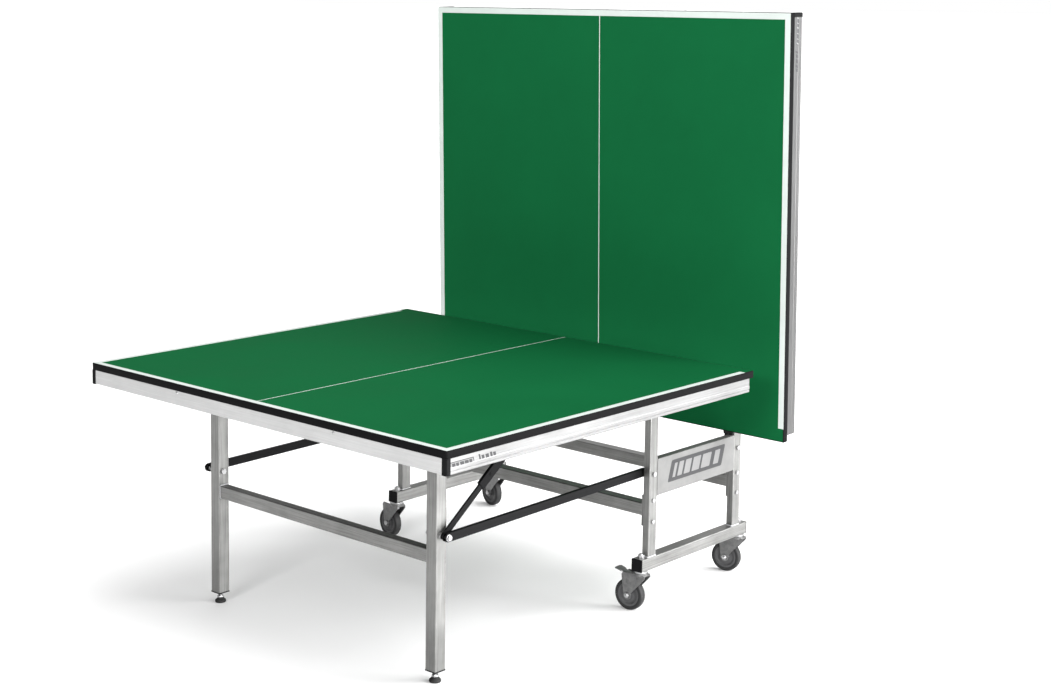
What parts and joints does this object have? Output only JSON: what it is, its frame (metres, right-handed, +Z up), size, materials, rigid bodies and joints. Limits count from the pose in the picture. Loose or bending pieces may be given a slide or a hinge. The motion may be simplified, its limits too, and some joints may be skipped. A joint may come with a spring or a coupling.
{
  "type": "table tennis table",
  "caption": "Folding table tennis table on a wheeled carriage, one half lying flat on its legs and the other half folded upright.",
  "frame": {"origin": "centre of the whole table's box at floor level, as it stands with one half flat and one half upright", "axes": "+X along the table from the flat half to the upright half, +Y across the table, +Z up"},
  "size_m": [1.6648, 1.525, 1.8662],
  "materials": {
    "green_board": "fibreboard with a deep green matt coating and white painted lines",
    "black_band": "black moulded edge band",
    "apron_metal": "satin grey extruded apron",
    "black_plastic": "black moulded caps and sleeves",
    "bright_tube": "bright zinc-plated square tube",
    "zinc_bolt": "bright zinc-plated bolts and nuts",
    "black_steel": "black powder coat",
    "bracket_steel": "dark powder-coated pressed brackets",
    "panel_grey": "light grey satin panel",
    "buffer_rubber": "black rubber",
    "fork_steel": "zinc-plated pressed fork",
    "wheel_rubber": "grey rubber wheel"
  },
  "bodies": {
    "carriage": {"posts": "bright_tube", "bottom_rails": "bright_tube", "rail_caps": "black_plastic", "side_panels": "panel_grey", "cross_rail_a": "bright_tube", "cross_rail_b": "bright_tube", "rail_flanges": "bright_tube", "frame_bolts": "zinc_bolt", "stop_pads": "buffer_rubber", "caster_stems": "zinc_bolt"},
    "top_a": {"top_board_a": "green_board", "edge_band_a": "black_band", "side_aprons_a": "apron_metal", "end_apron_a": "apron_metal", "corner_caps_a": "black_plastic", "under_frame_a": "black_steel", "hinge_brackets_a": "bracket_steel", "leg_brackets_a": "bracket_steel", "strike_plate_a": "bracket_steel"},
    "leg_frame_a": {"legs_a": "bright_tube", "leg_bar_a": "bright_tube", "leg_caps_a": "black_plastic", "leg_bolts_a": "zinc_bolt"},
    "foot_near_a": {"foot_near_a": "buffer_rubber"},
    "foot_far_a": {"foot_far_a": "buffer_rubber"},
    "struts_a": {"struts_a": "black_steel"},
    "lock_arm_a": {"lock_arm_a": "black_steel"},
    "lock_sleeve_a": {"lock_sleeve_a": "black_plastic"},
    "top_b": {"top_board_b": "green_board", "edge_band_b": "black_band", "side_aprons_b": "apron_metal", "end_apron_b": "apron_metal", "corner_caps_b": "black_plastic", "under_frame_b": "black_steel", "hinge_brackets_b": "bracket_steel", "leg_brackets_b": "bracket_steel", "strike_plate_b": "bracket_steel"},
    "leg_frame_b": {"legs_b": "bright_tube", "leg_bar_b": "bright_tube", "leg_caps_b": "black_plastic", "leg_bolts_b": "zinc_bolt"},
    "foot_near_b": {"foot_near_b": "buffer_rubber"},
    "foot_far_b": {"foot_far_b": "buffer_rubber"},
    "struts_b": {"struts_b": "black_steel"},
    "lock_arm_b": {"lock_arm_b": "black_steel"},
    "lock_sleeve_b": {"lock_sleeve_b": "black_plastic"},
    "caster_near_a": {"fork_near_a": "fork_steel"},
    "wheel_near_a": {"wheel_near_a": "wheel_rubber"},
    "pedal_near_a": {"pedal_near_a": "black_plastic"},
    "caster_near_b": {"fork_near_b": "fork_steel"},
    "wheel_near_b": {"wheel_near_b": "wheel_rubber"},
    "caster_far_a": {"fork_far_a": "fork_steel"},
    "wheel_far_a": {"wheel_far_a": "wheel_rubber"},
    "caster_far_b": {"fork_far_b": "fork_steel"},
    "wheel_far_b": {"wheel_far_b": "wheel_rubber"}
  },
  "joints": [
    {"name": "fold_a", "type": "hinge", "parent": "carriage", "child": "top_a", "pos_m": [0.31756, 0, 0.716], "axis": [0, 1, 0], "range_deg": [0, 91.4]},
    {"name": "leg_fold_a", "type": "hinge", "parent": "top_a", "child": "leg_frame_a", "pos_m": [-0.56844, 0, 0.708], "axis": [0, 1, 0], "range_deg": [-90.8, 0]},
    {"name": "strut_fold_a", "type": "hinge", "parent": "carriage", "child": "struts_a", "pos_m": [0.31006, 0, 0.4355], "axis": [0, 1, 0], "range_deg": [0, 91.71]},
    {"name": "lock_arm_fold_a", "type": "hinge", "parent": "leg_frame_a", "child": "lock_arm_a", "pos_m": [-0.57344, 0, 0.4245], "axis": [0, 1, 0], "range_deg": [0, 127.3]},
    {"name": "sleeve_slide_a", "type": "slide", "parent": "lock_arm_a", "child": "lock_sleeve_a", "axis": [0.7986, 0, 0.6018], "range_m": [0, 0.02]},
    {"name": "foot_screw_near_a", "type": "slide", "parent": "leg_frame_a", "child": "foot_near_a", "axis": [0, 0, -1], "range_m": [0, 0.02]},
    {"name": "foot_screw_far_a", "type": "slide", "parent": "leg_frame_a", "child": "foot_far_a", "axis": [0, 0, -1], "range_m": [0, 0.02]},
    {"name": "fold_b", "type": "hinge", "parent": "carriage", "child": "top_b", "pos_m": [0.75756, 0, 0.716], "axis": [0, 1, 0], "range_deg": [0, 91.4]},
    {"name": "leg_fold_b", "type": "hinge", "parent": "top_b", "child": "leg_frame_b", "pos_m": [0.74391, 0, 1.60193], "axis": [0, 1, 0], "range_deg": [-90.8, 0]},
    {"name": "strut_fold_b", "type": "hinge", "parent": "carriage", "child": "struts_b", "pos_m": [0.76506, 0, 0.4355], "axis": [0, 1, 0], "range_deg": [0, 91.71]},
    {"name": "lock_arm_fold_b", "type": "hinge", "parent": "leg_frame_b", "child": "lock_arm_b", "pos_m": [0.75287, 0, 1.31853], "axis": [0, 1, 0], "range_deg": [0, 127.3]},
    {"name": "sleeve_slide_b", "type": "slide", "parent": "lock_arm_b", "child": "lock_sleeve_b", "axis": [0.0139, 0, -0.9999], "range_m": [0, 0.02]},
    {"name": "foot_screw_near_b", "type": "slide", "parent": "leg_frame_b", "child": "foot_near_b", "axis": [0.014, 0, -0.9999], "range_m": [0, 0.02]},
    {"name": "foot_screw_far_b", "type": "slide", "parent": "leg_frame_b", "child": "foot_far_b", "axis": [0.014, 0, -0.9999], "range_m": [0, 0.02]},
    {"name": "swivel_near_a", "type": "hinge", "parent": "carriage", "child": "caster_near_a", "pos_m": [0.27356, -0.541, 0.12], "axis": [0, 0, 1], "continuous": true},
    {"name": "roll_near_a", "type": "hinge", "parent": "caster_near_a", "child": "wheel_near_a", "pos_m": [0.27025, -0.50314, 0.05], "axis": [0.9962, 0.0872, 0], "continuous": true},
    {"name": "brake_near_a", "type": "hinge", "parent": "caster_near_a", "child": "pedal_near_a", "pos_m": [0.27095, -0.51111, 0.1125], "axis": [-0.9962, -0.0872, 0], "range_deg": [0, 8]},
    {"name": "swivel_near_b", "type": "hinge", "parent": "carriage", "child": "caster_near_b", "pos_m": [0.80156, -0.541, 0.12], "axis": [0, 0, 1], "continuous": true},
    {"name": "roll_near_b", "type": "hinge", "parent": "caster_near_b", "child": "wheel_near_b", "pos_m": [0.79366, -0.50383, 0.05], "axis": [0.9781, 0.2079, 0], "continuous": true},
    {"name": "swivel_far_a", "type": "hinge", "parent": "carriage", "child": "caster_far_a", "pos_m": [0.27356, 0.541, 0.12], "axis": [0, 0, 1], "continuous": true},
    {"name": "roll_far_a", "type": "hinge", "parent": "caster_far_a", "child": "wheel_far_a", "pos_m": [0.27819, 0.57872, 0.05], "axis": [0.9925, -0.1219, 0], "continuous": true},
    {"name": "swivel_far_b", "type": "hinge", "parent": "carriage", "child": "caster_far_b", "pos_m": [0.80156, 0.541, 0.12], "axis": [0, 0, 1], "continuous": true},
    {"name": "roll_far_b", "type": "hinge", "parent": "caster_far_b", "child": "wheel_far_b", "pos_m": [0.80946, 0.57817, 0.05], "axis": [0.9781, -0.2079, 0], "continuous": true}
  ],
  "couplings": [
    {"joint": "leg_fold_a", "follows": "fold_a", "ratio": -0.99125},
    {"joint": "strut_fold_a", "follows": "fold_a", "ratio": 1.0012},
    {"joint": "lock_arm_fold_a", "follows": "fold_a", "ratio": 1.3895},
    {"joint": "leg_fold_b", "follows": "fold_b", "ratio": -0.99125},
    {"joint": "strut_fold_b", "follows": "fold_b", "ratio": 1.0012},
    {"joint": "lock_arm_fold_b", "follows": "fold_b", "ratio": 1.3895}
  ]
}
